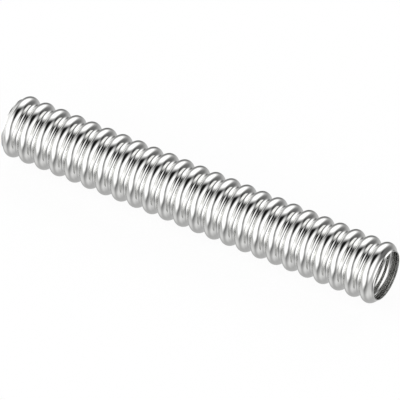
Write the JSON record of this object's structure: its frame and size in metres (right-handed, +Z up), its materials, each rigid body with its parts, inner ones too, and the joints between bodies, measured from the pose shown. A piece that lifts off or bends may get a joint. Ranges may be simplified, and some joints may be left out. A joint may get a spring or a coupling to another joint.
{
  "type": "corrugated stainless steel hose",
  "caption": "Straight length of thin-walled metal hose with parallel ring corrugations, open and cut square at both ends.",
  "frame": {"origin": "centre of the hose's length and width, on the surface it lies on, under the axis", "axes": "+X along the hose's axis, +Z up, so the axis is half a crest diameter above the origin"},
  "size_m": [0.1416, 0.0214, 0.0214],
  "materials": {
    "bright_stainless_steel": "polished"
  },
  "bodies": {
    "root": {"hose_wall": "bright_stainless_steel"}
  },
  "joints": []
}
